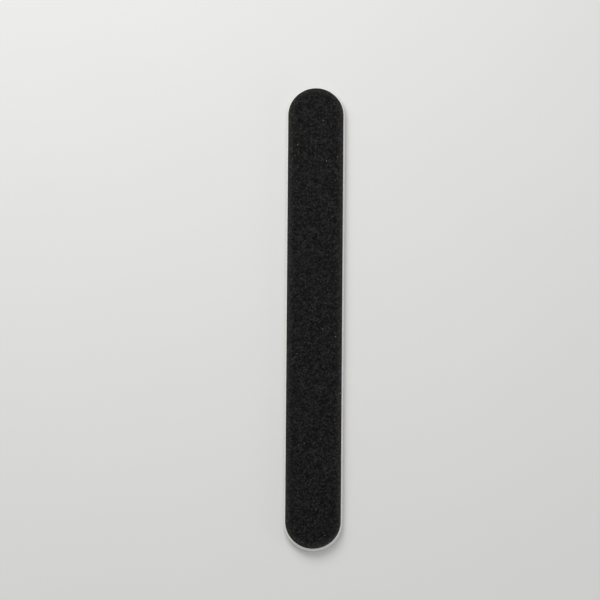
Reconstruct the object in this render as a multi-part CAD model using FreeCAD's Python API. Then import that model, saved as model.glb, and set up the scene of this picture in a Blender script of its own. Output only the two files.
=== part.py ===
import FreeCAD, Part
import math
import os

# An emery board: a nail file die-cut from one laminate, with a coarse face and a medium face.
# A hard core carries a foam pad on each side, and each pad carries a sheet of coated abrasive:
# backing paper, a bond coat of resin and one layer of grains. Glue films join the pieces.
# X runs across the board, Y along it and Z up. The board lies on its medium face, and the origin
# is the middle of that face. All sizes are in millimetres.

# The core is cut to the die, with full round ends, and is the widest piece
BOARD_LENGTH = 166.5
BOARD_WIDTH = 20.8
CORE_THICKNESS = 0.9

# What lies between the core and a sheet, on both sides
FOAM_THICKNESS = 1.1
GLUE_THICKNESS = 0.08

# The coarse sheet, on the side that the blade enters: its edge draws back and rolls down the most
COARSE_GRAIN_DEPTH = 0.13
COARSE_BOND_DEPTH = 0.09
COARSE_PAPER_THICKNESS = 0.20
COARSE_SETBACK = 0.57
COARSE_ROLL_WIDTH = 0.90
COARSE_ROLL_DROP = 0.26

# The medium sheet, on the side that the blade leaves
MEDIUM_GRAIN_DEPTH = 0.08
MEDIUM_BOND_DEPTH = 0.06
MEDIUM_PAPER_THICKNESS = 0.16
MEDIUM_SETBACK = 0.25
MEDIUM_ROLL_WIDTH = 0.55
MEDIUM_ROLL_DROP = 0.14

DIE_HALF_WIDTH = BOARD_WIDTH / 2
SPINE_LENGTH = BOARD_LENGTH - BOARD_WIDTH
CORE_FACE = CORE_THICKNESS / 2

OUTWARD = FreeCAD.Vector(1, 0, 0)
UPWARD = FreeCAD.Vector(0, 0, 1)
MIDDLE = FreeCAD.Vector(0, 0, 0)


class Side:
    """One side of the board. Levels are heights above the middle of the core, away from it."""

    def __init__(self, grain, bond, paper, setback, roll_width, roll_drop):
        self.half_width = DIE_HALF_WIDTH - setback
        self.roll_width = roll_width
        self.roll_drop = roll_drop
        self.foam_seat = CORE_FACE + GLUE_THICKNESS
        self.foam_face = self.foam_seat + FOAM_THICKNESS
        self.paper_seat = self.foam_face + GLUE_THICKNESS
        self.bond_seat = self.paper_seat + paper
        self.grain_seat = self.bond_seat + bond
        self.face = self.grain_seat + grain


COARSE = Side(
    grain=COARSE_GRAIN_DEPTH,
    bond=COARSE_BOND_DEPTH,
    paper=COARSE_PAPER_THICKNESS,
    setback=COARSE_SETBACK,
    roll_width=COARSE_ROLL_WIDTH,
    roll_drop=COARSE_ROLL_DROP,
)
MEDIUM = Side(
    grain=MEDIUM_GRAIN_DEPTH,
    bond=MEDIUM_BOND_DEPTH,
    paper=MEDIUM_PAPER_THICKNESS,
    setback=MEDIUM_SETBACK,
    roll_width=MEDIUM_ROLL_WIDTH,
    roll_drop=MEDIUM_ROLL_DROP,
)


def at(x, level):
    """A point of the half section, x out from the board's middle line."""
    return FreeCAD.Vector(x, 0, level)


def line(start, end):
    return Part.LineSegment(start, end).toShape()


def arc_leaving(start, end, along):
    """An arc that leaves start in the direction along and comes to end."""
    chord = end - start
    run = chord.dot(along)
    across = chord - along * run
    half_turn = math.atan2(across.Length, run)
    radius = chord.Length**2 / (2 * across.Length)
    rise = radius * (1 - math.cos(half_turn))
    middle = start + along * (radius * math.sin(half_turn)) + across.normalize() * rise
    return Part.Arc(start, middle, end).toShape()


def rolled_surface(side, level):
    """A sheet's surface, flat and then rolled towards the core, and the point where it is cut."""
    flat_end = at(side.half_width - side.roll_width, level)
    cut = at(side.half_width, level - side.roll_drop)
    return [line(at(0, level), flat_end), arc_leaving(flat_end, cut, OUTWARD)], cut


def die_surface(level):
    """A flat surface out to the die's line, and the point where it is cut."""
    cut = at(DIE_HALF_WIDTH, level)
    return [line(at(0, level), cut)], cut


def swept_round(outline):
    """The solid that a half section makes along the board's sides and round its two ends."""
    section = Part.Face(Part.Wire(Part.__sortEdges__(outline)))
    section.translate(FreeCAD.Vector(0, -SPINE_LENGTH / 2, 0))
    right = section.extrude(FreeCAD.Vector(0, SPINE_LENGTH, 0))
    left = right.mirror(MIDDLE, OUTWARD)
    near_end = section.revolve(at(0, 0) - FreeCAD.Vector(0, SPINE_LENGTH / 2, 0), UPWARD, -180)
    far_end = near_end.mirror(MIDDLE, FreeCAD.Vector(0, 1, 0))
    return right.fuse([left, near_end, far_end]).removeSplitter()


def between(lower, upper, flank=line):
    """The solid between two surfaces, closed by a flank from the lower cut to the upper one."""
    lower_edges, lower_cut = lower
    upper_edges, upper_cut = upper
    axis = line(lower_edges[0].Vertexes[0].Point, upper_edges[0].Vertexes[0].Point)
    return swept_round([*lower_edges, flank(lower_cut, upper_cut), *upper_edges, axis])


def foam_flank(core_cut, sheet_cut):
    """Foam stands upright at the core and leans in to the sheet's smaller outline."""
    return arc_leaving(core_cut, sheet_cut, UPWARD)


def core_board():
    """Hard plastic strip that keeps the board straight."""
    return between(die_surface(-CORE_FACE), die_surface(CORE_FACE))


def core_adhesive(side):
    """Glue film between the core and a foam pad."""
    return between(die_surface(CORE_FACE), die_surface(side.foam_seat))


def foam_pad(side):
    """Cushion that lets the sheet follow the nail."""
    return between(die_surface(side.foam_seat), rolled_surface(side, side.foam_face), foam_flank)


def sheet_adhesive(side):
    """Glue film between a foam pad and the backing paper."""
    return between(rolled_surface(side, side.foam_face), rolled_surface(side, side.paper_seat))


def backing_paper(side):
    """Paper that carries the abrasive."""
    return between(rolled_surface(side, side.paper_seat), rolled_surface(side, side.bond_seat))


def bond_coat(side):
    """Resin that the grains stand in."""
    return between(rolled_surface(side, side.bond_seat), rolled_surface(side, side.grain_seat))


def grain_layer(side):
    """The depth that the grains stand out of the resin, as one slab."""
    return between(rolled_surface(side, side.grain_seat), rolled_surface(side, side.face))


def as_laid(solid, downward=False):
    """A piece turned to the side that it belongs on, with the board resting on its medium face."""
    if downward:
        solid = solid.mirror(MIDDLE, UPWARD)
    solid.translate(UPWARD * MEDIUM.face)
    return solid


def pieces():
    """Each piece by name, from the medium face up to the coarse one."""
    return {
        "medium_grain_layer": as_laid(grain_layer(MEDIUM), downward=True),
        "medium_bond_coat": as_laid(bond_coat(MEDIUM), downward=True),
        "medium_backing_paper": as_laid(backing_paper(MEDIUM), downward=True),
        "medium_sheet_adhesive": as_laid(sheet_adhesive(MEDIUM), downward=True),
        "lower_foam_pad": as_laid(foam_pad(MEDIUM), downward=True),
        "lower_core_adhesive": as_laid(core_adhesive(MEDIUM), downward=True),
        "core_board": as_laid(core_board()),
        "upper_core_adhesive": as_laid(core_adhesive(COARSE)),
        "upper_foam_pad": as_laid(foam_pad(COARSE)),
        "coarse_sheet_adhesive": as_laid(sheet_adhesive(COARSE)),
        "coarse_backing_paper": as_laid(backing_paper(COARSE)),
        "coarse_bond_coat": as_laid(bond_coat(COARSE)),
        "coarse_grain_layer": as_laid(grain_layer(COARSE)),
    }


os.makedirs("parts", exist_ok=True)
for name, solid in pieces().items():
    solid.exportStep(f"parts/{name}.step")
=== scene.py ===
"""Dresses a cushioned emery board: grit, resin, paper, glue, foam and core, on a plain stage.

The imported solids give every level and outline. Each layer is made anew as a closed mesh that shows
what the cutting blade left: rolled sheets with crushed grit at their edges, open foam cells, squeezed
glue and a scored core.
"""

import math

import bpy
import numpy as np
from bpy.props import FloatProperty, FloatVectorProperty, PointerProperty
from mathutils import Matrix, Vector, kdtree
from mathutils.geometry import delaunay_2d_cdt


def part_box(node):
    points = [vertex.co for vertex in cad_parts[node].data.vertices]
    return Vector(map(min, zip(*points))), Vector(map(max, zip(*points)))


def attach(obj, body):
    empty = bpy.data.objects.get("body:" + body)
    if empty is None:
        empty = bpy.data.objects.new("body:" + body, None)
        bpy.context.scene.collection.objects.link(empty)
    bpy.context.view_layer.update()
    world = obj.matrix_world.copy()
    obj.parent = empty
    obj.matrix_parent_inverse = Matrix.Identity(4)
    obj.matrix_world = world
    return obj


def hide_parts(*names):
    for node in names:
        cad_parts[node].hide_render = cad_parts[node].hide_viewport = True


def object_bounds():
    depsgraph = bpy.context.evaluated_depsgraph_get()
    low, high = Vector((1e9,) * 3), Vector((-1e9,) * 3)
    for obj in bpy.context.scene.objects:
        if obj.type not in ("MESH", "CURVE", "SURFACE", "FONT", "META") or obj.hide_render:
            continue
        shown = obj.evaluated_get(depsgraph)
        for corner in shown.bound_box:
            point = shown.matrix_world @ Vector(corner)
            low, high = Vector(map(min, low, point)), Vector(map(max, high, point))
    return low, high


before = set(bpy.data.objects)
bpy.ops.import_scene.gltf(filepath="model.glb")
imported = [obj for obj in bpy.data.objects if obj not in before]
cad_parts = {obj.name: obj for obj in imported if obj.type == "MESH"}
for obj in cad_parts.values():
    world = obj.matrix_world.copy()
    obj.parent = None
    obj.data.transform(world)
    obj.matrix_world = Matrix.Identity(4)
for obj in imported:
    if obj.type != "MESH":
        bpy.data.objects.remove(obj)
CAD_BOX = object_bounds()

bl_info = {
    "name": "Emery Board",
    "version": (1, 0, 0),
    "blender": (4, 5, 0),
    "location": "View3D > Sidebar > Emery",
    "description": "Builds the layers of an emery board round its packed solids",
    "category": "Object",
}

MM = 0.001
BODY = "root"
PICTURE_SIDE = 600


# Settings that a user would change


def length(label, says, default):
    return FloatProperty(name=label, description=says, default=default, min=0.0, unit="LENGTH", precision=6)


def angle(label, says, degrees):
    return FloatProperty(name=label, description=says, default=math.radians(degrees), unit="ROTATION")


def number(label, says, default, subtype="NONE", unit="NONE"):
    return FloatProperty(name=label, description=says, default=default, min=0.0, subtype=subtype, unit=unit)


def colour(label, says, default):
    return FloatVectorProperty(
        name=label, description=says, default=default, size=3, min=0.0, max=1.0, subtype="COLOR"
    )


class EmerySizes(bpy.types.PropertyGroup):
    """Sizes of what the solids leave out."""

    coarse_grain: length("Coarse grain", "Usual width of a grain of the coarse grit", 0.60 * MM)
    medium_grain: length("Medium grain", "Usual width of a grain of the medium grit", 0.36 * MM)
    coarse_spacing: length("Coarse spacing", "Distance between the corners of the coarse grit", 0.22 * MM)
    medium_spacing: length("Medium spacing", "Distance between the corners of the medium grit", 0.215 * MM)
    resin_spacing: length("Resin spacing", "Distance between the points of the resin's surface", 0.60 * MM)
    resin_swell: length("Resin swell", "How far the resin's surface rises and falls", 0.012 * MM)
    rim_step: length("Rim step", "Distance between the sections of a sheet round its edge", 0.25 * MM)
    foam_step: length("Foam step", "Distance between the sections of the foam and the core", 0.08 * MM)
    foam_cell: length("Foam cell", "Usual width of a foam cell that the blade opened", 0.32 * MM)
    chip_depth: length("Chip depth", "Depth of the places where grit broke off the cut edge", 0.30 * MM)
    cut_wander: length("Cut wander", "How far a cut edge strays from the outline", 0.03 * MM)
    glue_bead: length("Glue bead", "How far the glue is squeezed out of its joint", 0.03 * MM)
    score_depth: length("Score depth", "Depth of the marks that the blade leaves on the core", 0.012 * MM)


class EmeryColours(bpy.types.PropertyGroup):
    """Colours of the pieces."""

    grain_dark: colour("Dark grain", "The darkest facets of the grit", (0.0020, 0.0020, 0.0020))
    grain_light: colour("Light grain", "The lightest facets of the grit", (0.042, 0.041, 0.041))
    # painted glints: a bright colour in place of the sparkle of a few facets
    painted_glint_colour: colour("Bright grain", "The few grains that catch the eye", (0.36, 0.36, 0.35))
    # crushed grit at the cut edge, partly painted sheen where light catches the rolled edge
    grain_worn_and_sheen: colour("Worn grain", "Crushed grains at the cut edge", (0.12, 0.116, 0.112))
    resin: colour("Resin", "The resin between the grains", (0.0025, 0.0025, 0.0025))
    resin_dust: colour("Resin dust", "Fine grit that is stuck in the resin", (0.012, 0.0115, 0.0115))
    paper: colour("Paper", "The backing paper's cut edge", (0.17, 0.155, 0.14))
    paper_stain: colour("Paper stain", "Where resin soaked into the paper", (0.075, 0.072, 0.070))
    glue: colour("Glue", "The glue films", (0.62, 0.58, 0.47))
    foam: colour("Foam", "The foam's skin between its cells", (0.88, 0.875, 0.85))
    # painted shade at the bottom of an open cell, also the grey of the foam's patches and of the core's
    # blade marks
    pit_shade_and_marks: colour("Foam pit", "The bottom of an open cell", (0.68, 0.67, 0.64))
    core: colour("Core", "The hard plastic core", (0.82, 0.825, 0.82))
    floor: colour("Floor", "The pale floor", (0.76, 0.76, 0.75))


class EmeryStage(bpy.types.PropertyGroup):
    """Camera, lamps and floor."""

    distance: length("Camera distance", "From the camera to the board's upper face", 3000 * MM)
    elevation: angle("Camera elevation", "Angle of the view above the horizon", 81.0)
    roll: angle("Camera roll", "How far the board leans to the right in the picture", 0.44)
    picture_width: length("Picture width", "Width of what the picture shows at the upper face", 212.9 * MM)
    middle_x: number("Middle x", "Pixel of the face's middle, from the left", 314.55, subtype="PIXEL")
    middle_y: number("Middle y", "Pixel of the face's middle, from the top", 317.2, subtype="PIXEL")
    sky: number("Sky", "Strength of the even light all round", 0.50)
    key: number("Key", "Power of the large lamp beyond the far end", 1.75, unit="POWER")
    fill: number("Fill", "Power of the low lamp to the near right", 0.90, unit="POWER")


# Shader expressions


def open_socket(sockets, key):
    """The socket at that index, or the one in use that has that name."""
    if isinstance(key, int):
        return sockets[key]
    return next(socket for socket in sockets if socket.name == key and socket.enabled)


class Value:
    """What comes out of a node. Arithmetic on numbers adds Math nodes to the finish."""

    def __init__(self, finish, socket):
        self.finish = finish
        self.socket = socket

    def math(self, operation, first, second):
        return self.finish.node("ShaderNodeMath", {"operation": operation}, {0: first, 1: second})

    def __add__(self, other):
        return self.math("ADD", self, other)

    def __sub__(self, other):
        return self.math("SUBTRACT", self, other)

    def __rsub__(self, other):
        return self.math("SUBTRACT", other, self)

    def __mul__(self, other):
        return self.math("MULTIPLY", self, other)

    __radd__ = __add__
    __rmul__ = __mul__

    def ranged(self, least, most):
        """A value from 0 to 1, spread over that range."""
        return self * (most - least) + least


class Finish:
    """A material that is built from one Principled surface."""

    def __init__(self, name, **constants):
        self.material = bpy.data.materials.new(name)
        self.material.use_nodes = True
        self.tree = self.material.node_tree
        self.surface = next(node for node in self.tree.nodes if node.type == "BSDF_PRINCIPLED")
        for socket, value in constants.items():
            self.surface.inputs[socket.replace("_", " ")].default_value = value

    def node(self, kind, settings=None, sockets=None, output=0):
        """One output of a new node. Its settings come first, then values or links for its sockets."""
        made = self.tree.nodes.new(kind)
        for key, setting in (settings or {}).items():
            if key == "stops":
                self.set_stops(made.color_ramp.elements, setting)
            else:
                setattr(made, key, setting)
        for key, value in (sockets or {}).items():
            self.feed(open_socket(made.inputs, key), value)
        return Value(self, open_socket(made.outputs, output))

    def set_stops(self, elements, stops):
        for element, (position, grey) in zip(elements, stops):
            element.position = position
            element.color = (grey, grey, grey, 1.0)

    def feed(self, socket, value):
        if isinstance(value, Value):
            self.tree.links.new(value.socket, socket)
        elif isinstance(socket.default_value, float):
            socket.default_value = value
        else:
            socket.default_value = (*value, 1.0)[: len(socket.default_value)]

    def set(self, name, value):
        self.feed(self.surface.inputs[name], value)

    def place(self):
        return self.node("ShaderNodeTexCoord", output="Object")

    def squeezed(self, place, upright):
        """The place with its height multiplied. Above 1, a pattern is squeezed, and below 1 drawn out."""
        sockets = {0: place, 1: (1.0, 1.0, upright)}
        return self.node("ShaderNodeVectorMath", {"operation": "MULTIPLY"}, sockets)

    def noise(self, place, size, detail=2.0):
        """Soft noise from 0 to 1 with patches of about that size."""
        sockets = {"Vector": place, "Scale": 1 / size, "Detail": detail}
        return self.node("ShaderNodeTexNoise", {"normalize": True}, sockets)

    def cells(self, place, size):
        """How far each point lies from the walls of cells of about that size."""
        settings = {"feature": "DISTANCE_TO_EDGE"}
        return self.node("ShaderNodeTexVoronoi", settings, {"Vector": place, "Scale": 1 / size}, "Distance")

    def ramp(self, value, low, high):
        """0 up to the low value, 1 from the high one on, and even steps between them."""
        return self.node("ShaderNodeValToRGB", {"stops": ((low, 0.0), (high, 1.0))}, {0: value})

    def mix(self, factor, first, second):
        settings = {"data_type": "RGBA", "clamp_factor": True}
        return self.node("ShaderNodeMix", settings, {"Factor": factor, "A": first, "B": second}, "Result")

    def own(self, attribute):
        """A number that the mesh holds for each of its points or faces."""
        return self.node("ShaderNodeAttribute", {"attribute_name": attribute}, output="Fac")

    def bump(self, height, depth, strength):
        sockets = {"Height": height, "Distance": depth, "Strength": strength}
        self.set("Normal", self.node("ShaderNodeBump", None, sockets))


# Finishes

# How rough a grain is, and how far its tone and its fracture change that
GRAIN_ROUGHNESS = 0.26
ROUGHNESS_CHANGE = 0.1

# How much crumbs show in worn grit with its painted sheen, fibres in paper, and patches, painted shade in
# small cells and skin in foam
CRUMB_SHARE = 0.36
FIBRE_SHARE = 0.6
PATCH_SHARE = 0.25
HOLLOW_SHADE_SHARE = 0.15
SKIN_SHARE = 0.3

# How much brighter the floor's pale patches are
MOTTLE = 1.02


def grain_finish(name, colours):
    """Crushed black mineral: each facet has its own tone, darker as painted shade in the gaps between
    grains, a few facets carry a painted glint, and the cut edge is lighter with wear and painted sheen.
    """
    finish = Finish(name, Specular_IOR_Level=0.055)
    place = finish.place()
    tone = finish.own("tone")
    fracture = finish.noise(place, size=0.06 * MM, detail=3.0)
    chipped = tone * finish.ramp(fracture, low=0.36, high=0.64).ranged(least=0.62, most=1.32)
    shade = finish.mix(chipped, colours.grain_dark, colours.grain_light)
    crumbs = finish.ramp(finish.noise(place, size=0.2 * MM, detail=3.0), low=0.36, high=0.64)
    # wear and painted sheen: crushed grit and the light that the rolled edge catches, lighter at the cut
    # edge
    worn_and_sheen = finish.own("wear_and_sheen") * (crumbs * CRUMB_SHARE)
    edge = finish.mix(worn_and_sheen, shade, colours.grain_worn_and_sheen)
    # painted glints on a few facets
    finish.set("Base Color", finish.mix(finish.own("painted_glint"), edge, colours.painted_glint_colour))
    finish.set("Roughness", GRAIN_ROUGHNESS - tone * ROUGHNESS_CHANGE + fracture * ROUGHNESS_CHANGE)
    finish.bump(fracture, depth=0.025 * MM, strength=0.8)
    return finish.material


def resin_finish(name, colours):
    """Cured black resin with fine dust in it, smoother where it pools."""
    finish = Finish(name, Specular_IOR_Level=0.08)
    place = finish.place()
    pool = finish.noise(place, size=0.5 * MM)
    speck = finish.noise(place, size=0.05 * MM)
    finish.set("Base Color", finish.mix(speck, colours.resin, colours.resin_dust))
    finish.set("Roughness", pool.ranged(least=0.45, most=0.75))
    finish.bump(speck, depth=0.01 * MM, strength=0.4)
    return finish.material


def paper_finish(name, colours):
    """Resin-soaked paper, whose cut edge shows its fibres."""
    finish = Finish(name, Specular_IOR_Level=0.2)
    place = finish.place()
    strand = finish.noise(finish.squeezed(place, upright=6.0), size=0.22 * MM, detail=4.0)
    fibre = finish.ramp(strand, low=0.35, high=0.65)
    stain = finish.noise(place, size=1.5 * MM)
    soaked = finish.mix(stain, colours.paper, colours.paper_stain)
    finish.set("Base Color", finish.mix(fibre * FIBRE_SHARE, soaked, colours.resin))
    finish.set("Roughness", fibre.ranged(least=0.75, most=0.95))
    finish.bump(fibre, depth=0.02 * MM, strength=0.6)
    return finish.material


def glue_finish(name, colours):
    """Squeezed contact glue, yellowish and smeared."""
    finish = Finish(name, Specular_IOR_Level=0.4)
    place = finish.place()
    smear = finish.noise(finish.squeezed(place, upright=0.3), size=0.7 * MM, detail=3.0)
    finish.set("Base Color", finish.mix(smear, colours.glue, colours.foam))
    finish.set("Roughness", smear.ranged(least=0.25, most=0.65))
    finish.bump(smear, depth=0.01 * MM, strength=0.4)
    return finish.material


def foam_finish(name, colours):
    """Closed-cell foam: pale walls round the small cells, and deeper cells that the blade opened, both
    darker inside with painted shade.
    """
    finish = Finish(name, Specular_IOR_Level=0.25)
    place = finish.place()
    skin = finish.noise(place, size=0.07 * MM, detail=3.0)
    patch = finish.noise(place, size=4.0 * MM)
    hollow = finish.ramp(finish.cells(place, size=0.17 * MM), low=0.0, high=0.16)
    wall = finish.mix(patch * PATCH_SHARE, colours.foam, colours.pit_shade_and_marks)
    # painted shade: the bottoms of open cells and the small cells are darker
    depth = finish.own("pit") * skin.ranged(least=0.4, most=0.9) + hollow * HOLLOW_SHADE_SHARE
    finish.set("Base Color", finish.mix(depth, wall, colours.pit_shade_and_marks))
    finish.set("Roughness", skin.ranged(least=0.8, most=0.95))
    finish.bump(skin * SKIN_SHARE - hollow, depth=0.03 * MM, strength=0.7)
    return finish.material


def core_finish(name, colours):
    """White polystyrene with upright marks from the blade."""
    finish = Finish(name, Specular_IOR_Level=0.45)
    place = finish.place()
    streak = finish.noise(finish.squeezed(place, upright=0.05), size=0.12 * MM)
    patch = finish.noise(place, size=2.5 * MM)
    finish.set("Base Color", finish.mix(streak * patch, colours.core, colours.pit_shade_and_marks))
    finish.set("Roughness", streak.ranged(least=0.35, most=0.65))
    finish.bump(streak, depth=0.01 * MM, strength=0.4)
    return finish.material


def floor_finish(name, colours):
    """Matt pale paper."""
    finish = Finish(name, Specular_IOR_Level=0.1, Roughness=0.9)
    mottle = finish.noise(finish.place(), size=40 * MM)
    pale = [min(1.0, channel * MOTTLE) for channel in colours.floor]
    finish.set("Base Color", finish.mix(mottle, colours.floor, pale))
    return finish.material


# Outlines


class Side:
    """One side of the board, read from the frame. Heights run outwards from the core's middle."""

    LEVEL_ERROR = 0.001 * MM

    def __init__(self, name, place, up):
        self.name = name
        self.place = place
        self.up = up
        low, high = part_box("core_board")
        self.middle = (low.z + high.z) / 2
        self.core_radius = high.x
        grain = f"{name}_grain_layer"
        low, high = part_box(grain)
        self.radius = high.x
        self.spine = high.y - high.x
        face = high.z if up > 0 else low.z
        corners = [vertex.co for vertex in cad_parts[grain].data.vertices]
        flat = max(corner.x for corner in corners if abs(corner.z - face) < self.LEVEL_ERROR)
        self.roll = self.radius - flat
        self.drop = self.heights(f"{name}_bond_coat")[1] - self.heights(grain)[0]

    def heights(self, node):
        """The lowest and highest distance of a node from the core's middle."""
        low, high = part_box(node)
        return sorted((self.up * (low.z - self.middle), self.up * (high.z - self.middle)))

    def levels(self, piece):
        """Where a rolled sheet's two surfaces lie inside its rolled edge."""
        inner, outer = self.heights(f"{self.name}_{piece}")
        return inner + self.drop, outer

    def rolled(self, level, inset):
        """The height of a sheet's surface at a distance in from its cut edge."""
        arc = (self.roll**2 + self.drop**2) / (2 * self.drop)
        reach = np.clip(self.roll - inset, 0, None)
        return level - arc + np.sqrt(arc**2 - reach**2)

    def inset(self, x, y):
        """How far points of the face lie in from its cut edge."""
        return self.radius - np.hypot(x, np.clip(np.abs(y) - self.spine, 0, None))


def both_sides():
    return Side("coarse", "upper", 1), Side("medium", "lower", -1)


def eased(part):
    """A share from 0 to 1 that starts and ends gently."""
    return part * part * (3 - 2 * part)


class Rim:
    """Sections round an outline, from the tip of the near end and anticlockwise seen from above."""

    LEAST_KNOTS = 4

    def __init__(self, spine, radius, step):
        quarter = round(math.pi / 2 * radius / step)
        side = round(2 * spine / step)
        turn = np.linspace(0, math.pi / 2, quarter, endpoint=False)
        run = np.linspace(-spine, spine, side, endpoint=False)
        still = np.ones(quarter) * spine
        turns = [turn - math.pi / 2, 0 * run, turn, turn + math.pi / 2, 0 * run + math.pi, turn + math.pi]
        self.heading = np.concatenate(turns)
        self.centre = np.concatenate([-still, run, still, still, -run, -still])
        self.count = len(self.heading)
        first = self.ring(radius, 0.0)
        steps = np.linalg.norm(np.roll(first, -1, 0) - first, axis=1)
        self.perimeter = steps.sum()
        self.along = np.cumsum(steps) - steps

    def ring(self, radius, height):
        """Points at that distance from the spine and at that height, either the same all round or not."""
        across = radius * np.cos(self.heading)
        along = self.centre + radius * np.sin(self.heading)
        return np.column_stack([across, along, np.broadcast_to(height, self.count)])

    def wander(self, rng, wave, reach):
        """A smooth random offset all round, in waves of that length and up to reach to either side."""
        knots = rng.uniform(-reach, reach, max(self.LEAST_KNOTS, round(self.perimeter / wave)))
        spot = self.along / self.perimeter * len(knots)
        whole = np.floor(spot).astype(int)
        blend = eased(spot - whole)
        after = knots[(whole + 1) % len(knots)]
        return knots[whole % len(knots)] * (1 - blend) + after * blend


def soft_noise(rng, x, y, size):
    """Smooth random values from 0 to 1 over the plane, in patches of that size."""
    column = (x - x.min()) / size
    row = (y - y.min()) / size
    knots = rng.random((int(column.max()) + 2, int(row.max()) + 2))
    i = column.astype(int)
    j = row.astype(int)
    u = eased(column - i)
    v = eased(row - j)
    near = knots[i, j] * (1 - u) + knots[i + 1, j] * u
    far = knots[i, j + 1] * (1 - u) + knots[i + 1, j + 1] * u
    return near * (1 - v) + far * v


# Meshes


class Shell:
    """A closed mesh in the making: bands between rings, then a lid on the first ring and on the last."""

    # A map has 1024 dots to a side. Rows end on whole dots, as one that is only partly covered bakes dark
    LID_DOTS = 16
    ROW_DOTS = 84
    UV_ROWS = 12
    TOP_ROW_DOTS = 300
    TOP_ROWS = 3
    MARGIN_DOTS = 4
    MAP_DOTS = LID_DOTS + UV_ROWS * ROW_DOTS

    # The same as shares: of the map, and the margin of a row
    LID_SHARE = LID_DOTS / MAP_DOTS
    LID_FILL = 0.9
    TOP_SHARE = TOP_ROWS * TOP_ROW_DOTS / MAP_DOTS
    MARGIN = MARGIN_DOTS / ROW_DOTS

    # What the triangulation keeps, how close two points may come, and where smooth shading breaks
    INSIDE_FENCE = 1
    WELD = 1e-9
    SHARP_ANGLE = math.radians(35)

    def __init__(self, rim, rings):
        self.rim = rim
        self.rings = rings
        self.points = np.vstack(rings)
        self.faces = []
        self.uvs = []

    def rungs(self, ring, flip):
        """A lid of straight rungs from one side of the outline to the other."""
        count = self.rim.count
        start = ring * count
        span = self.points[:, :2].max(0) - self.points[:, :2].min(0)
        for i in range(count // 2):
            corners = list(dict.fromkeys([i, i + 1, (count - i - 1) % count, (count - i) % count]))
            if flip:
                corners.reverse()
            self.faces.append([start + corner for corner in corners])
            for corner in corners:
                x, y = self.points[start + corner, :2]
                self.uvs.append((y / span[1] + 0.5, self.LID_SHARE * (x / span[0] + 0.5) * self.LID_FILL))

    def bands(self, top):
        """Quads between neighbouring rings, with their map folded into rows. top is where the rows end."""
        count = self.rim.count
        steps = [np.linalg.norm(b - a, axis=1).mean() for a, b in zip(self.rings, self.rings[1:])]
        across = np.concatenate([[0], np.cumsum(steps)]) / sum(steps)
        row_height = (top - self.LID_SHARE) / self.UV_ROWS
        i = np.arange(count)
        row = i * self.UV_ROWS // count
        starts = np.searchsorted(row, np.arange(self.UV_ROWS + 1))
        per_row = np.diff(starts)[row]
        low = self.LID_SHARE + (row + self.MARGIN) * row_height
        left = (i - starts[row]) / per_row
        right = left + 1 / per_row
        for j in range(len(self.rings) - 1):
            a = j * count + i
            b = j * count + (i + 1) % count
            self.faces.extend(np.column_stack([a, b, b + count, a + count]).tolist())
            v0 = low + across[j] * row_height * (1 - 2 * self.MARGIN)
            v1 = low + across[j + 1] * row_height * (1 - 2 * self.MARGIN)
            quads = np.stack([left, v0, right, v0, right, v1, left, v1], axis=1)
            self.uvs.extend(map(tuple, quads.reshape(-1, 2)))

    def close_with_rungs(self):
        self.bands(1.0)
        self.rungs(0, flip=True)
        self.rungs(len(self.rings) - 1, flip=False)

    def close_with_field(self, x, y, heights):
        """Closes the top with a field of irregular facets through those points, inside the last ring."""
        self.bands(1.0 - self.TOP_SHARE)
        self.rungs(0, flip=True)
        count = self.rim.count
        start = len(self.points) - count
        flat = np.vstack([self.points[start:, :2], np.column_stack([x, y])])
        fence = [(i, (i + 1) % count) for i in range(count)]
        corners = [Vector(point) for point in flat]
        _, _, facets, sources, *_ = delaunay_2d_cdt(corners, fence, [], self.INSIDE_FENCE, self.WELD)
        triangles = np.array([source[0] for source in sources])[np.array(facets)]
        self.points = np.vstack([self.points, np.column_stack([x, y, heights])])
        self.faces.extend((triangles + start).tolist())
        self.map_field(flat, triangles)

    def map_field(self, flat, triangles):
        """Maps the field from above, folded into rows so that it fills its share of the map."""
        span = flat.max(0) - flat.min(0)
        corner = (flat / span + 0.5)[triangles]
        row = np.clip((corner[:, :, 1].mean(1) * self.TOP_ROWS).astype(int), 0, self.TOP_ROWS - 1)
        inner = 1 - 2 * self.MARGIN
        u = (corner[:, :, 1] * self.TOP_ROWS - row[:, None]) * inner + self.MARGIN
        v = (row[:, None] + corner[:, :, 0] * inner + self.MARGIN) / self.TOP_ROWS
        v = 1 - self.TOP_SHARE + v * self.TOP_SHARE
        self.uvs.extend(map(tuple, np.stack([u, v], axis=2).reshape(-1, 2)))

    def piece(self, name, side, finish, smooth):
        """The finished object, turned to its side of the core."""
        points = self.points.copy()
        points[:, 2] = side.middle + side.up * points[:, 2]
        mesh = bpy.data.meshes.new(name)
        mesh.from_pydata(points.tolist(), [], self.faces, shade_flat=not smooth)
        mesh.uv_layers.new(name="OFBake")
        mesh.uv_layers["OFBake"].uv.foreach_set("vector", np.array(self.uvs, np.float32).ravel())
        if side.up < 0:
            mesh.flip_normals()
        if smooth:
            mesh.set_sharp_from_angle(angle=self.SHARP_ANGLE)
        mesh.materials.append(finish)
        piece = bpy.data.objects.new(name, mesh)
        bpy.context.scene.collection.objects.link(piece)
        return piece


def note(piece, name, domain, values):
    """Stores one number for each point or face, which the piece's finish reads."""
    layer = piece.data.attributes.new(name, "FLOAT", domain)
    layer.data.foreach_set("value", np.asarray(values, np.float32))


def seat(piece, node):
    """Puts a piece in the place of its solid."""
    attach(piece, BODY)
    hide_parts(node)


# Strewn points

# In spacings: how far a point strays, how clear it stays of the posts and the line of the fence round the
# field, and how far in from the fence that is tested
JITTER = 0.42
POST_CLEARANCE = 0.5
LINE_CLEARANCE = 0.35
TESTED_REACH = 2


def tree_of(x, y):
    """A tree that finds the nearest of those points."""
    tree = kdtree.KDTree(len(x))
    for i, place in enumerate(zip(x, y)):
        tree.insert((*place, 0.0), i)
    tree.balance()
    return tree


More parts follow.
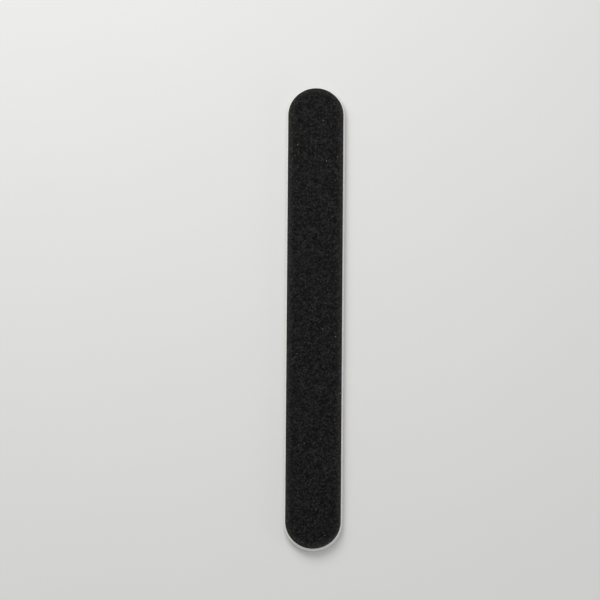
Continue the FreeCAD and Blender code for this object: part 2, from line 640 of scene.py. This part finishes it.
def scattered(side, spacing, rng):
    """Points strewn evenly over a face, in no visible rows."""
    row_step = spacing * math.sqrt(3) / 2
    columns = np.arange(-side.radius, side.radius, spacing)
    rows = np.arange(-side.spine - side.radius, side.spine + side.radius, row_step)
    x, y = np.meshgrid(columns, rows)
    x = x + (np.arange(len(rows)) % 2)[:, None] * spacing / 2
    x = (x + rng.uniform(-JITTER, JITTER, x.shape) * spacing).ravel()
    y = (y + rng.uniform(-JITTER, JITTER, y.shape) * spacing).ravel()
    inside = side.inset(x, y) > 0
    return x[inside], y[inside]


def field_points(side, spacing, rng, fence):
    """Points strewn over a face, all inside the fence and clear of it, and how far in they lie."""
    x, y = scattered(side, spacing, rng)
    inset = side.inset(x, y)
    fence_inset = side.inset(fence[:, 0], fence[:, 1])
    posts = tree_of(fence[:, 0], fence[:, 1])
    keep = inset > 0
    for i in np.flatnonzero(inset < fence_inset.max() + TESTED_REACH * spacing):
        _, post, gap = posts.find((x[i], y[i], 0.0))
        clear = gap > POST_CLEARANCE * spacing
        keep[i] = clear and inset[i] > fence_inset[post] + LINE_CLEARANCE * spacing
    return x[keep], y[keep], inset[keep]


# Sheets

# Rings over a rolled edge, and rows of points up a paper's and a glue film's cut edge
ROLL_ROWS = 4
PAPER_ROWS = 3
GLUE_ROWS = 5

# How long the waves of a cut edge are in paper and in resin, the share of a cut's wander that the resin
# shows, and how wide the swells of its surface are, in spacings
PAPER_WAVE = 0.4 * MM
RESIN_WAVE = 0.6 * MM
RESIN_WANDER = 0.5
RESIN_PATCH = 2

# A glue bead: how far out it usually stands at a sheet and at the core, its long swells and its blobs
SHEET_BEAD = 0.6
CORE_BEAD = 0.5
SWELL_WAVE = 3 * MM
SWELL = 0.5
BLOB_WAVE = 0.7 * MM
BLOB = 0.3


def roll_rings(side, rim, level, inwards):
    """Rings over a sheet's rolled edge, at one of its two surfaces."""
    insets = np.linspace(0, side.roll, ROLL_ROWS + 1)[1:]
    rings = [rim.ring(side.radius - inset, side.rolled(level, inset)) for inset in insets]
    return rings if inwards else rings[::-1]


def sheet_shell(side, rim, levels, offsets):
    """A rolled sheet. Each offset says how far one row of its cut edge stands out, from the core on."""
    inner, outer = levels
    rings = roll_rings(side, rim, inner, inwards=False)
    for part, offset in zip(np.linspace(0, 1, len(offsets)), offsets):
        height = side.rolled(inner + (outer - inner) * part, 0)
        rings.append(rim.ring(side.radius + offset, height))
    return Shell(rim, rings + roll_rings(side, rim, outer, inwards=True))


def upright_shell(rim, radius, heights, offsets):
    """A flat layer with an upright cut edge, each row of which stands out by its own offset."""
    inner, outer = heights
    rings = []
    for part, offset in zip(np.linspace(0, 1, len(offsets)), offsets):
        rings.append(rim.ring(radius + offset, inner + (outer - inner) * part))
    return Shell(rim, rings)


def resin(side, sizes, rng, finish):
    """The bed that the grit stands in."""
    inner, outer = side.levels("bond_coat")
    rim = Rim(side.spine, side.radius, sizes.rim_step)
    edge = rim.wander(rng, RESIN_WAVE, RESIN_WANDER * sizes.cut_wander)
    rings = roll_rings(side, rim, inner, inwards=False)
    rings.append(rim.ring(side.radius + np.minimum(edge, 0), side.rolled(inner, 0)))
    rings.append(rim.ring(side.radius + edge, side.rolled(outer, 0)))
    shell = Shell(rim, rings)
    x, y, inset = field_points(side, sizes.resin_spacing, rng, rings[-1])
    swell = (soft_noise(rng, x, y, RESIN_PATCH * sizes.resin_spacing) * 2 - 1) * sizes.resin_swell
    shell.close_with_field(x, y, side.rolled(outer, inset) + swell)
    return shell.piece(f"{side.name}_resin", side, finish, smooth=True)


def paper(side, sizes, rng, finish):
    """The backing paper, with a slightly ragged cut."""
    rim = Rim(side.spine, side.radius, sizes.rim_step)
    ragged = [rim.wander(rng, PAPER_WAVE, sizes.cut_wander) for _ in range(PAPER_ROWS)]
    shell = sheet_shell(side, rim, side.levels("backing_paper"), ragged)
    shell.close_with_rungs()
    return shell.piece(f"{side.name}_paper", side, finish, smooth=True)


def bead_rows(rim, size, usual, rng):
    """How far each row of a glue film's edge stands out, more in some places than in others."""
    bead = size * (usual + rim.wander(rng, SWELL_WAVE, SWELL) + rim.wander(rng, BLOB_WAVE, BLOB))
    return [bead * math.sin(math.pi * part) for part in np.linspace(0, 1, GLUE_ROWS)]


def sheet_glue(side, sizes, rng, finish):
    """The glue under the paper, squeezed out of the joint."""
    rim = Rim(side.spine, side.radius, sizes.rim_step)
    bead = bead_rows(rim, sizes.glue_bead, SHEET_BEAD, rng)
    shell = sheet_shell(side, rim, side.levels("sheet_adhesive"), bead)
    shell.close_with_rungs()
    return shell.piece(f"{side.name}_sheet_glue", side, finish, smooth=True)


def core_glue(side, node, sizes, rng, finish):
    """The glue between the core and the foam."""
    rim = Rim(side.spine, side.core_radius, sizes.rim_step)
    bead = bead_rows(rim, sizes.glue_bead, CORE_BEAD, rng)
    shell = upright_shell(rim, side.core_radius, side.heights(node), bead)
    shell.close_with_rungs()
    return shell.piece(f"{side.place}_core_glue", side, finish, smooth=True)


# Grit

# Single grains: the share that broke low and its height, the least height of the rest, and how dark most are
LOW_SHARE = 0.18
LOW_HEIGHT = 0.15
LEAST_HEIGHT = 0.5
TONE_SKEW = 1.7

# A grain's slope, in grain widths, the least height of its top, and how deep the gaps beside it go
TOP_REACH = 0.4
LEAST_TOP = 0.75
GAP_DEPTH = 0.3

# The cut edge: how deep the grit is rooted and how high its edge stands, in grain depths, how far it is
# notched and cut under, in spacings, how long its waves are, and how high a wave from -1 to 1 starts a chip
ROOT = 0.4
BROW = 0.7
NOTCH = 0.3
UNDERCUT = 0.4
GRIT_WAVE = 0.5 * MM
CHIP_WAVE = 0.9 * MM
CHIP_START = 0.45

# Facets: how much their tones differ within a grain, how dark the painted shade in a gap is, and how many
# facets carry a painted glint
FACET_SHARE = 0.4
GAP_SHADE = 0.25
PAINTED_GLINT_SHARE = 0.00026

# Wear with painted sheen at the cut edge: how far in it reaches, in roll widths, how fast it fades, and how
# strong the painted sheen is at the near tip, where it leans to the right, the side that the light falls on
WEAR_AND_SHEEN_REACH = 3.0
WEAR_AND_SHEEN_FALL = 1.6
TIP_SHEEN = 2.0
TIP_LEAN = 0.75


class Grains:
    """The single grains of a face, each with its own height and tone."""

    def __init__(self, side, size, rng):
        x, y = scattered(side, size, rng)
        self.size = size
        self.tree = tree_of(x, y)
        low = rng.random(len(x)) < LOW_SHARE
        self.height = np.where(low, LOW_HEIGHT, rng.uniform(LEAST_HEIGHT, 1.0, len(x)))
        self.tone = rng.random(len(x)) ** TONE_SKEW

    def around(self, x, y):
        """For each point, the grain that holds it and how clear it is of the gap to the next grain."""
        holder = np.empty(len(x), int)
        clear = np.empty(len(x))
        for k, place in enumerate(zip(x, y)):
            (_, holder[k], near), (_, _, far) = self.tree.find_n((*place, 0.0), 2)
            clear[k] = (far - near) / self.size
        return holder, clear


def grit(side, sizes, spacing, size, rng, finish):
    """The grains that stand out of the resin, as a field of sharp facets that is rooted in it."""
    inner, outer = side.levels("grain_layer")
    depth = outer - inner
    root = inner - ROOT * depth
    rim = Rim(side.spine, side.radius, spacing)
    chips = np.clip(rim.wander(rng, CHIP_WAVE, 1.0) - CHIP_START, 0, None) * sizes.chip_depth
    stray = rim.wander(rng, GRIT_WAVE, sizes.cut_wander)
    edge = stray - chips - rng.uniform(0, NOTCH, rim.count) * spacing
    rings = roll_rings(side, rim, root, inwards=False)
    rings.append(rim.ring(side.radius - UNDERCUT * spacing - chips, side.rolled(root, 0)))
    brow = side.rolled(inner, 0) + rng.uniform(0, BROW, rim.count) * depth
    rings.append(rim.ring(side.radius + edge, brow))
    shell = Shell(rim, rings)
    grains = Grains(side, size, rng)
    x, y, inset = field_points(side, spacing, rng, rings[-1])
    holder, clear = grains.around(x, y)
    slope = np.clip(clear / TOP_REACH, 0, 1)
    tops = slope * grains.height[holder] * rng.uniform(LEAST_TOP, 1.0, len(x))
    gaps = (1 - slope) * rng.uniform(0, GAP_DEPTH, len(x))
    shell.close_with_field(x, y, side.rolled(inner, inset) + (tops - gaps) * depth)
    piece = shell.piece(f"{side.name}_grit", side, finish, smooth=False)
    shade_facets(piece, grains, side, rng)
    return piece


def shade_facets(piece, grains, side, rng):
    """Gives the facets of each grain its tone, with painted shade in the gaps, a few painted glints, and
    more wear and painted sheen the nearer they lie to the cut edge.
    """
    middles = np.empty(len(piece.data.polygons) * 3, np.float32)
    piece.data.polygons.foreach_get("center", middles)
    x, y = middles.reshape(-1, 3)[:, :2].T.astype(float)
    inset = side.inset(x, y)
    holder, clear = grains.around(x, y)
    tone = grains.tone[holder] * (1 - FACET_SHARE * rng.random(len(x)))
    # painted shade: facets in the gaps between grains get a darker tone
    note(piece, "tone", "FACE", tone * np.clip(clear / TOP_REACH, GAP_SHADE, 1))
    # wear with painted sheen near the cut edge, then more painted sheen at the near tip, lighter on its
    # right where the light falls
    crushed_and_sheen = np.clip(1 - inset / (WEAR_AND_SHEEN_REACH * side.roll), 0, 1) ** WEAR_AND_SHEEN_FALL
    lean = 1 - TIP_LEAN + TIP_LEAN * x / side.radius
    tip = np.clip((-y - side.spine) / side.radius, 0, 1) * lean
    tip_sheen = np.clip(1 - inset / side.roll, 0, 1) * tip * TIP_SHEEN
    note(piece, "wear_and_sheen", "FACE", crushed_and_sheen + tip_sheen)
    # painted glints: a few facets get a bright colour in place of a sparkle
    note(piece, "painted_glint", "FACE", rng.random(len(x)) < PAINTED_GLINT_SHARE)


# Foam and core

# Rows of points up a foam pad's flank and up the core's cut edge
FOAM_ROWS = 15
CORE_ROWS = 6

# Open cells, in cell widths: the room that each takes, its least and greatest radius, the share of its round
# depth that is left, and the depth at which its painted shade is darkest
CELL_ROOM = 0.75
LEAST_CELL = 0.35
GREATEST_CELL = 0.75
CELL_DEPTH = 0.55
DARKEST_SHADE_DEPTH = 0.35

# How long the waves are in the foam's flank, and in the core's fine scores, wide scores and lip
FOAM_WAVE = 5 * MM
FINE_WAVE = 0.3 * MM
WIDE_WAVE = 2 * MM
LIP_WAVE = 1 * MM

# How much the scores fade towards the lip, how much the lip changes, and how fast it ends
SCORE_FADE = 0.4
LIP_CHANGE = 0.8
LIP_FALL = 4


class Cells:
    """Foam cells scattered over an unrolled flank, which repeats all round."""

    LAPS = (-1, 0, 1)

    def __init__(self, rim, height, width, rng):
        count = round(rim.perimeter * height / (CELL_ROOM * width**2))
        along = rng.uniform(0, rim.perimeter, count)
        up = rng.uniform(0, height, count)
        radii = width * rng.uniform(LEAST_CELL, GREATEST_CELL, count)
        laps = np.concatenate([along + lap * rim.perimeter for lap in self.LAPS])
        self.rim = rim
        self.tree = tree_of(laps, np.tile(up, len(self.LAPS)))
        self.radii = np.tile(radii, len(self.LAPS))
        self.reach = GREATEST_CELL * width

    def depths(self, up):
        """How deep the cells are cut along one row of the flank."""
        depth = np.zeros(self.rim.count)
        for k, along in enumerate(self.rim.along):
            for _, i, gap in self.tree.find_range((along, up, 0.0), self.reach):
                if gap < self.radii[i]:
                    depth[k] = max(depth[k], CELL_DEPTH * math.sqrt(self.radii[i] ** 2 - gap**2))
        return depth


def foam(side, node, sizes, rng, finish):
    """A foam pad whose flank leans from the core's outline to the sheet's, with its cells cut open."""
    rim = Rim(side.spine, side.core_radius, sizes.foam_step)
    foot, face = side.heights(node)
    setback = side.core_radius - side.radius
    rise = side.rolled(face, 0) - foot
    arc = (setback**2 + rise**2) / (2 * setback)
    turn = 2 * math.atan2(setback, rise)
    cells = Cells(rim, arc * turn, sizes.foam_cell, rng)
    slack = rim.wander(rng, FOAM_WAVE, sizes.cut_wander)
    rings = []
    pits = []
    for bend in np.linspace(0, turn, FOAM_ROWS):
        free = math.sqrt(math.sin(math.pi * bend / turn))
        pit = cells.depths(arc * bend)
        radius = side.core_radius - arc * (1 - math.cos(bend)) + (slack - pit) * free
        rings.append(rim.ring(radius, foot + arc * math.sin(bend)))
        pits.append(pit * free)
    rolled = roll_rings(side, rim, face, inwards=True)
    shell = Shell(rim, rings + rolled)
    shell.close_with_rungs()
    piece = shell.piece(f"{side.place}_foam", side, finish, smooth=True)
    depth = np.concatenate(pits + [np.zeros(rim.count)] * len(rolled))
    # the cells' depth drives their painted shade
    note(piece, "pit", "POINT", np.clip(depth / (DARKEST_SHADE_DEPTH * sizes.foam_cell), 0, 1))
    return piece


def core(side, sizes, rng, finish):
    """The hard core, scored upright by the blade and with a faint lip where it left."""
    rim = Rim(side.spine, side.core_radius, sizes.foam_step)
    fine = rim.wander(rng, FINE_WAVE, sizes.score_depth)
    score = fine + rim.wander(rng, WIDE_WAVE, sizes.score_depth)
    lip = sizes.score_depth * (1 + rim.wander(rng, LIP_WAVE, LIP_CHANGE))
    parts = np.linspace(0, 1, CORE_ROWS)
    offsets = [score * (1 - SCORE_FADE + SCORE_FADE * part) + lip * (1 - part) ** LIP_FALL for part in parts]
    shell = upright_shell(rim, side.core_radius, side.heights("core_board"), offsets)
    shell.close_with_rungs()
    return shell.piece("stiff_core", side, finish, smooth=True)


# Stage

FLOOR_REACH = 3.0
KEY_PLACE = (-0.14, 0.32, 0.42)
KEY_SIDE = 0.36
FILL_PLACE = (0.95, -0.35, 0.35)
FILL_SIDE = 0.45
SENSOR_WIDTH = 36.0
CLIP_NEAR = 0.01
CLIP_FAR = 20.0


def lay_floor(scene, colours):
    """A wide sheet of pale paper under the board."""
    level = CAD_BOX[0].z
    corners = [(-1, -1), (1, -1), (1, 1), (-1, 1)]
    mesh = bpy.data.meshes.new("floor")
    mesh.from_pydata([(x * FLOOR_REACH, y * FLOOR_REACH, level) for x, y in corners], [], [(0, 1, 2, 3)])
    mesh.materials.append(floor_finish("floor_paper", colours))
    floor = bpy.data.objects.new("floor", mesh)
    scene.collection.objects.link(floor)


def hang_lamp(scene, name, place, side, watts):
    """A square lamp that shines at the board's middle."""
    data = bpy.data.lights.new(name, "AREA")
    data.energy = watts
    data.size = side
    made = bpy.data.objects.new(name, data)
    made.location = place
    made.rotation_mode = "QUATERNION"
    made.rotation_quaternion = (-Vector(place)).to_track_quat("-Z", "Y")
    scene.collection.objects.link(made)


def light_stage(scene, stage):
    """Even light all round, a large lamp beyond the far end and a low weak one to the near right."""
    world = bpy.data.worlds.new("even_light")
    scene.world = world
    world.use_nodes = True
    background = world.node_tree.nodes["Background"]
    background.inputs["Color"].default_value = (1.0, 1.0, 1.0, 1.0)
    background.inputs["Strength"].default_value = stage.sky
    hang_lamp(scene, "key_lamp", KEY_PLACE, KEY_SIDE, stage.key)
    hang_lamp(scene, "fill_lamp", FILL_PLACE, FILL_SIDE, stage.fill)


def aim_camera(scene, stage):
    """A long lens almost straight above the face, framed as the picture is."""
    _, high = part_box("coarse_grain_layer")
    face = Vector((0.0, 0.0, high.z))
    scale = stage.picture_width / PICTURE_SIDE
    right = (PICTURE_SIDE / 2 - stage.middle_x) * scale
    up = (stage.middle_y - PICTURE_SIDE / 2) * scale
    target = face + Vector((right, up / math.sin(stage.elevation), 0.0))
    back = Vector((0.0, -math.cos(stage.elevation), math.sin(stage.elevation)))
    data = bpy.data.cameras.new("camera")
    data.sensor_width = SENSOR_WIDTH
    data.lens = data.sensor_width * stage.distance / stage.picture_width
    data.clip_start = CLIP_NEAR
    data.clip_end = CLIP_FAR
    camera = bpy.data.objects.new("camera", data)
    turn = (-back).to_track_quat("-Z", "Y").to_matrix().to_4x4() @ Matrix.Rotation(stage.roll, 4, "Z")
    camera.matrix_world = Matrix.Translation(target + back * stage.distance) @ turn
    scene.collection.objects.link(camera)
    scene.camera = camera


# Operators

# Where the random draws of each kind of piece start, one higher for the second side
SEEDS = {"grit": 11, "resin": 21, "paper": 31, "glue": 41, "foam": 51, "core": 61}


def seeded_sides(kind):
    """Both sides of the board, each with random draws of its own."""
    return [(side, np.random.default_rng(SEEDS[kind] + i)) for i, side in enumerate(both_sides())]


class EMERY_OT_grit(bpy.types.Operator):
    """Makes the coarse grit and the medium grit"""

    bl_idname = "emery.grit"
    bl_label = "Grit"

    def execute(self, context):
        sizes, colours = context.scene.emery_sizes, context.scene.emery_colours
        grades = {
            "coarse": (sizes.coarse_spacing, sizes.coarse_grain),
            "medium": (sizes.medium_spacing, sizes.medium_grain),
        }
        for side, rng in seeded_sides("grit"):
            finish = grain_finish(f"{side.name}_grain", colours)
            piece = grit(side, sizes, *grades[side.name], rng, finish)
            seat(piece, f"{side.name}_grain_layer")
        return {"FINISHED"}


class EMERY_OT_resin(bpy.types.Operator):
    """Makes the resin beds of both sheets"""

    bl_idname = "emery.resin"
    bl_label = "Resin beds"

    def execute(self, context):
        sizes, colours = context.scene.emery_sizes, context.scene.emery_colours
        for side, rng in seeded_sides("resin"):
            finish = resin_finish(f"{side.name}_resin", colours)
            seat(resin(side, sizes, rng, finish), f"{side.name}_bond_coat")
        return {"FINISHED"}


class EMERY_OT_paper(bpy.types.Operator):
    """Makes the backing papers of both sheets"""

    bl_idname = "emery.paper"
    bl_label = "Backing papers"

    def execute(self, context):
        sizes, colours = context.scene.emery_sizes, context.scene.emery_colours
        finish = paper_finish("backing_paper", colours)
        for side, rng in seeded_sides("paper"):
            seat(paper(side, sizes, rng, finish), f"{side.name}_backing_paper")
        return {"FINISHED"}


class EMERY_OT_glue(bpy.types.Operator):
    """Makes the four glue films"""

    bl_idname = "emery.glue"
    bl_label = "Glue films"

    def execute(self, context):
        sizes, colours = context.scene.emery_sizes, context.scene.emery_colours
        finish = glue_finish("glue_film", colours)
        for side, rng in seeded_sides("glue"):
            seat(sheet_glue(side, sizes, rng, finish), f"{side.name}_sheet_adhesive")
            node = f"{side.place}_core_adhesive"
            seat(core_glue(side, node, sizes, rng, finish), node)
        return {"FINISHED"}


class EMERY_OT_foam(bpy.types.Operator):
    """Makes the two foam pads"""

    bl_idname = "emery.foam"
    bl_label = "Foam pads"

    def execute(self, context):
        sizes, colours = context.scene.emery_sizes, context.scene.emery_colours
        finish = foam_finish("foam", colours)
        for side, rng in seeded_sides("foam"):
            node = f"{side.place}_foam_pad"
            piece = foam(side, node, sizes, rng, finish)
            seat(piece, node)
        return {"FINISHED"}


class EMERY_OT_core(bpy.types.Operator):
    """Makes the stiff core"""

    bl_idname = "emery.core"
    bl_label = "Core"

    def execute(self, context):
        sizes, colours = context.scene.emery_sizes, context.scene.emery_colours
        finish = core_finish("core_plastic", colours)
        side, rng = seeded_sides("core")[0]
        seat(core(side, sizes, rng, finish), "core_board")
        return {"FINISHED"}


class EMERY_OT_stage(bpy.types.Operator):
    """Makes the floor, the lamps and the camera"""

    bl_idname = "emery.stage"
    bl_label = "Stage"

    def execute(self, context):
        scene = context.scene
        lay_floor(scene, scene.emery_colours)
        light_stage(scene, scene.emery_stage)
        aim_camera(scene, scene.emery_stage)
        scene.view_settings.view_transform = "Standard"
        return {"FINISHED"}


class EMERY_PT_board(bpy.types.Panel):
    """Lists the settings and the steps that build the board"""

    bl_idname = "EMERY_PT_board"
    bl_label = "Emery Board"
    bl_space_type = "VIEW_3D"
    bl_region_type = "UI"
    bl_category = "Emery"

    def draw(self, context):
        for group in (context.scene.emery_sizes, context.scene.emery_colours, context.scene.emery_stage):
            box = self.layout.box()
            for name in group.bl_rna.properties.keys():
                if name not in ("rna_type", "name"):
                    box.prop(group, name)
        for step in STEPS:
            self.layout.operator(step.bl_idname)


STEPS = (
    EMERY_OT_core,
    EMERY_OT_foam,
    EMERY_OT_glue,
    EMERY_OT_paper,
    EMERY_OT_resin,
    EMERY_OT_grit,
    EMERY_OT_stage,
)
GROUPS = {"emery_sizes": EmerySizes, "emery_colours": EmeryColours, "emery_stage": EmeryStage}


def register():
    for made in (*GROUPS.values(), *STEPS, EMERY_PT_board):
        bpy.utils.register_class(made)
    for name, group in GROUPS.items():
        setattr(bpy.types.Scene, name, PointerProperty(type=group))


def unregister():
    for name in GROUPS:
        delattr(bpy.types.Scene, name)
    for made in reversed((*GROUPS.values(), *STEPS, EMERY_PT_board)):
        bpy.utils.unregister_class(made)


def main():
    register()
    for step in STEPS:
        group, name = step.bl_idname.split(".")
        getattr(getattr(bpy.ops, group), name)()


if __name__ == "__main__":
    main()
